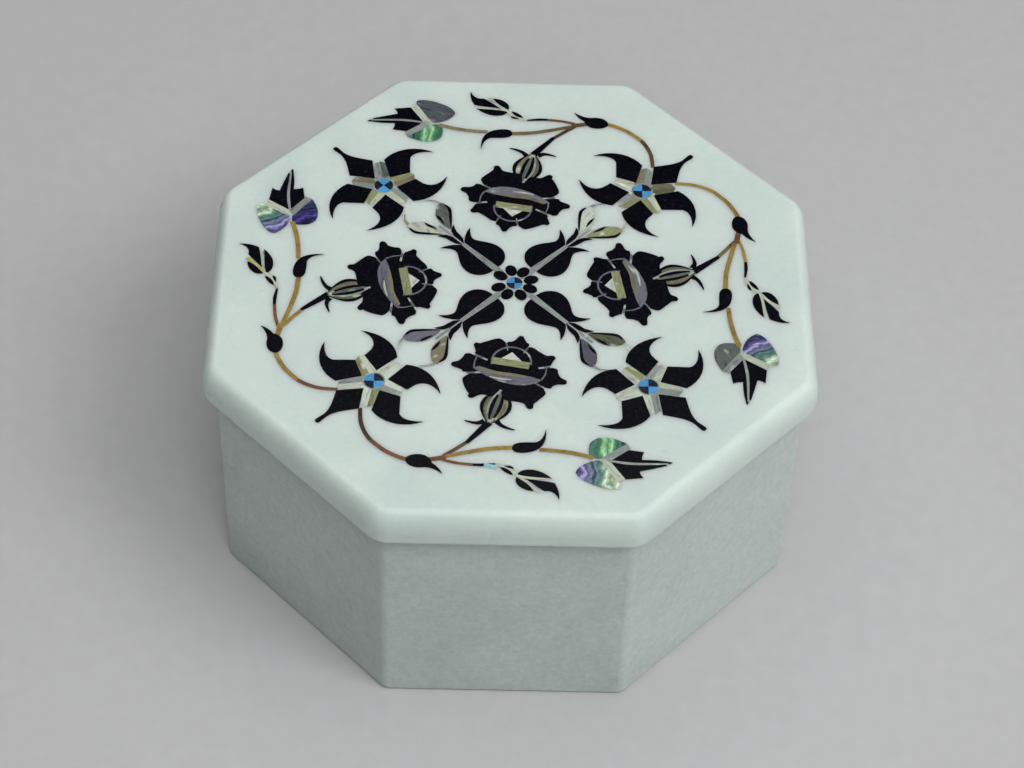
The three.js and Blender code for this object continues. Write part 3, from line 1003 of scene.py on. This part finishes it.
def dark_stone():
    """Near black stone with a navy and wine tint and fine paler specks."""
    r = Recipe("dark_stone")
    at = r.place()
    patches = r.noise(at, 260, 3, 0.6).outputs["Fac"]
    colour = r.ramp(patches, [(0.3, linear(3, 4, 7)), (0.5, linear(5, 6, 14)), (0.7, linear(10, 6, 14))])
    specks = r.cells(at, 2300).outputs["Distance"]
    grain = r.noise(at, 1500, 3, 0.7).outputs["Fac"]
    colour = r.blend("ADD", r.ramp(grain, [(0.56, grey(0.0)), (0.74, grey(0.6))]), colour, linear(24, 26, 42))
    colour = r.blend("ADD", r.ramp(specks, [(0.0, grey(0.12)), (0.1, grey(0.0))]), colour, linear(70, 78, 90))
    r.set(Base_Color=colour, IOR=1.45, Specular_IOR_Level=0.2, Roughness=r.span(grain, 0.16, 0.3, 0.3, 0.7))
    r.set(Normal=r.bump(patches, 0.05, 0.0002))
    return r.material


def turquoise():
    """Clear blue stone and its dark quarters, mottled with pale veins."""
    r = Recipe("turquoise")
    at = r.place()
    tint = r.attribute("stone_tint").outputs["Color"]
    mottle = r.noise(at, 900, 4, 0.65, 0.4).outputs["Fac"]
    colour = r.blend("MULTIPLY", 1.0, tint, r.ramp(mottle, [(0.3, grey(0.84)), (0.7, grey(1.12))]))
    veins = r.cells(at, 1100, "DISTANCE_TO_EDGE").outputs["Distance"]
    vein_share = r.ramp(veins, [(0.0, grey(0.04)), (0.07, grey(0.0))])
    colour = r.blend("SCREEN", vein_share, colour, linear(150, 180, 190))
    r.set(Base_Color=colour, Roughness=r.span(mottle, 0.2, 0.34, 0.3, 0.7))
    r.set(Normal=r.bump(mottle, 0.06, 0.0002))
    return r.material


def pearl_shell():
    """Mother of pearl: bands along the strip that drift in hue, and painted highlights: soft bright spots
    laid into the colour.
    """
    r = Recipe("shell")
    place = r.attribute("stone_place").outputs["Vector"]
    tint = r.attribute("stone_tint").outputs["Color"]
    bent = r.node("ShaderNodeMapping", {"Vector": place, "Scale": (0.28, 1.5, 1.0)}).outputs["Vector"]
    bands = r.noise(bent, 1.3, 3, 0.55, 0.6).outputs["Fac"]
    hues = r.ramp(bands, [
        (0.26, linear(150, 140, 150)), (0.4, linear(206, 200, 216)), (0.5, linear(230, 232, 228)),
        (0.62, linear(208, 226, 212)), (0.78, linear(255, 255, 244)),
    ])
    colour = r.blend("MULTIPLY", 1.0, tint, hues)
    # Painted highlight: soft bright spots screened over the shell's colour, in place of real glints of light
    bright = r.node("ShaderNodeMapping", {"Vector": place, "Scale": (0.5, 0.9, 1.0)}).outputs["Vector"]
    painted_glints = r.noise(bright, 0.8, 2, 0.4).outputs["Fac"]
    painted_glint_share = r.ramp(painted_glints, [(0.62, grey(0.0)), (0.86, grey(0.85))])
    colour = r.blend("SCREEN", painted_glint_share, colour, linear(226, 238, 220))
    r.set(Base_Color=colour, Roughness=r.span(bands, 0.14, 0.3, 0.3, 0.7), IOR=1.6)
    r.set(Normal=r.bump(bands, 0.12, 0.0003))
    return r.material


def abalone():
    """Abalone: curved bands from navy and purple through lilac to sea green."""
    r = Recipe("abalone")
    place = r.attribute("stone_place").outputs["Vector"]
    tint = r.attribute("stone_tint").outputs["Color"]
    bend = r.noise(place, 0.3, 3, 0.5).outputs["Fac"]
    parts = r.node("ShaderNodeSeparateXYZ", {"Vector": place})
    across = r.sum("MULTIPLY", parts.outputs["Y"], 0.05)
    along = r.sum("MULTIPLY", parts.outputs["X"], 1 / 7.2)
    swing = r.sum("MULTIPLY", r.sum("SUBTRACT", bend, 0.5), 0.55)
    spot = r.sum("ADD", r.sum("ADD", along, across), r.sum("ADD", swing, parts.outputs["Z"]))
    spot = r.sum("PINGPONG", spot, 1.0)
    colour = r.ramp(spot, [
        (0.0, linear(30, 32, 58)), (0.14, linear(44, 40, 88)), (0.24, linear(92, 84, 138)),
        (0.31, linear(176, 174, 214)), (0.38, linear(74, 84, 130)), (0.48, linear(122, 132, 150)),
        (0.56, linear(34, 46, 72)), (0.63, linear(96, 132, 140)), (0.72, linear(70, 110, 100)),
        (0.82, linear(112, 142, 120)), (0.9, linear(206, 236, 208)), (1.0, linear(128, 142, 116)),
    ])
    colour = r.blend("MULTIPLY", 1.0, colour, tint)
    fine = r.node("ShaderNodeMapping", {"Vector": place, "Scale": (2.2, 0.5, 1.0)}).outputs["Vector"]
    threads = r.noise(fine, 1.4, 4, 0.6, 0.5).outputs["Fac"]
    colour = r.blend("MULTIPLY", 1.0, colour, r.ramp(threads, [(0.32, grey(0.62)), (0.6, grey(1.15))]))
    thread_share = r.ramp(threads, [(0.62, grey(0.0)), (0.76, grey(0.45))])
    colour = r.blend("SCREEN", thread_share, colour, linear(190, 200, 236))
    r.set(Base_Color=colour, Roughness=r.span(threads, 0.12, 0.28, 0.3, 0.7), IOR=1.6)
    r.set(Normal=r.bump(threads, 0.12, 0.0003))
    return r.material


def jasper():
    """Banded ochre and brown stone of the stems."""
    r = Recipe("jasper")
    place = r.attribute("stone_place").outputs["Vector"]
    tint = r.attribute("stone_tint").outputs["Color"]
    drift = r.noise(place, 0.45, 4, 0.6, 0.3).outputs["Fac"]
    colour = r.blend("MULTIPLY", 1.0, tint, r.ramp(drift, [
        (0.28, linear(168, 146, 128)), (0.5, linear(240, 236, 226)), (0.72, linear(255, 255, 236))]))
    grain = r.noise(place, 5.5, 3, 0.7).outputs["Fac"]
    colour = r.blend("MULTIPLY", 1.0, colour, r.ramp(grain, [(0.3, grey(0.72)), (0.6, grey(1.08))]))
    r.set(Base_Color=colour, Roughness=r.span(grain, 0.22, 0.38, 0.3, 0.7))
    r.set(Normal=r.bump(grain, 0.06, 0.0002))
    return r.material


LID_LIGHT = linear(212, 225, 219)
LID_SHADE = linear(203, 217, 212)
# The box's cloud tints are darker and greyer than the lid's: painted shade for its upright sides, which get
# less light than the lid's top
BOX_PAINTED_SHADE_PALE = linear(201, 212, 207)
BOX_PAINTED_SHADE_DARK = linear(191, 202, 198)

finishes = {
    "lid": marble("marble_lid", LID_LIGHT, LID_SHADE, 0.26, 0.38, 0.04),
    "box": marble("marble_box", BOX_PAINTED_SHADE_PALE, BOX_PAINTED_SHADE_DARK, 0.42, 0.62, 0.12),
    "dark_stone": dark_stone(),
    "turquoise": turquoise(),
    "shell": pearl_shell(),
    "abalone": abalone(),
    "jasper": jasper(),
}


def dress(made, finish, nodes):
    made.data.materials.append(finishes[finish])
    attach(made, "root")
    if nodes:
        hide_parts(*nodes)


dress(lid_piece(), "lid", ["lid"])
dress(box_piece(), "box", ["box"])
for stone_name, made_stone in stone_pieces().items():
    facts = PIECES[stone_name]
    stone_finish = "abalone" if stone_name.endswith("abalone") else facts["slot"]
    dress(made_stone, stone_finish, facts["nodes"])

# Stage: a plain pale floor, four soft lights above it and a dim room

floor_mesh = bpy.data.meshes.new("floor")
reach = 3.0
floor_mesh.from_pydata([(-reach, -reach, 0), (reach, -reach, 0), (reach, reach, 0), (-reach, reach, 0)], [],
                       [(0, 1, 2, 3)])
floor = bpy.data.objects.new("floor", floor_mesh)
bpy.context.scene.collection.objects.link(floor)
floor_recipe = Recipe("floor")
paper = floor_recipe.noise(floor_recipe.place(), 300, 3).outputs["Fac"]
paper_shade = floor_recipe.ramp(paper, [(0.3, linear(184, 184, 185)), (0.7, linear(188, 188, 189))])
floor_recipe.set(Base_Color=paper_shade)
floor_recipe.set(Roughness=0.9, Specular_IOR_Level=0.1)
floor_mesh.materials.append(floor_recipe.material)


LIGHT_AIM = Vector((0, 0, 0.03))


def soft_light(name, direction, distance, size, watts):
    data = bpy.data.lights.new(name, "AREA")
    data.shape = "DISK"
    data.size = size
    data.energy = watts
    made = bpy.data.objects.new(name, data)
    bpy.context.scene.collection.objects.link(made)
    spot = Vector(direction).normalized() * distance + LIGHT_AIM
    made.location = spot
    made.rotation_euler = (spot - LIGHT_AIM).to_track_quat("Z", "Y").to_euler()


soft_light("key", (0.40, -0.26, 0.60), 1.6, 0.7, 8.9)
soft_light("right", (0.9, -0.1, 0.35), 1.6, 0.8, 2.9)
soft_light("front", (0.08, -0.62, 0.78), 1.6, 1.0, 8.4)
soft_light("overhead", (0.0, 0.05, 1.0), 1.8, 2.4, 18.4)

world = bpy.data.worlds.new("room")
world.use_nodes = True
room = world.node_tree.nodes["Background"]
room.inputs["Color"].default_value = (0.96, 0.98, 1.0, 1.0)
room.inputs["Strength"].default_value = 0.01
bpy.context.scene.world = world
bpy.context.scene.view_settings.view_transform = "Standard"

# Camera at the photograph's angle, for a picture of 1024 by 768

TARGET = Vector((0.602, -0.870, 25.0)) * MM
AZIMUTH, ELEVATION, ROLL = (math.radians(v) for v in (-1.268, 49.164, 2.186))
DISTANCE = 496.93 * MM
camera_data = bpy.data.cameras.new("camera")
camera_data.sensor_width = 36.0
camera_data.lens = 100.02
camera_data.clip_start = 0.01
camera = bpy.data.objects.new("camera", camera_data)
bpy.context.scene.collection.objects.link(camera)
back = Vector((math.sin(AZIMUTH) * math.cos(ELEVATION), -math.cos(AZIMUTH) * math.cos(ELEVATION),
               math.sin(ELEVATION)))
level_x = Vector((0, 0, 1)).cross(back).normalized()
level_y = back.cross(level_x)
rolled_x = level_x * math.cos(ROLL) + level_y * math.sin(ROLL)
rolled_y = level_y * math.cos(ROLL) - level_x * math.sin(ROLL)
spot = TARGET + back * DISTANCE
camera.matrix_world = Matrix((
    (rolled_x.x, rolled_y.x, back.x, spot.x),
    (rolled_x.y, rolled_y.y, back.y, spot.y),
    (rolled_x.z, rolled_y.z, back.z, spot.z),
    (0, 0, 0, 1),
))
bpy.context.scene.camera = camera
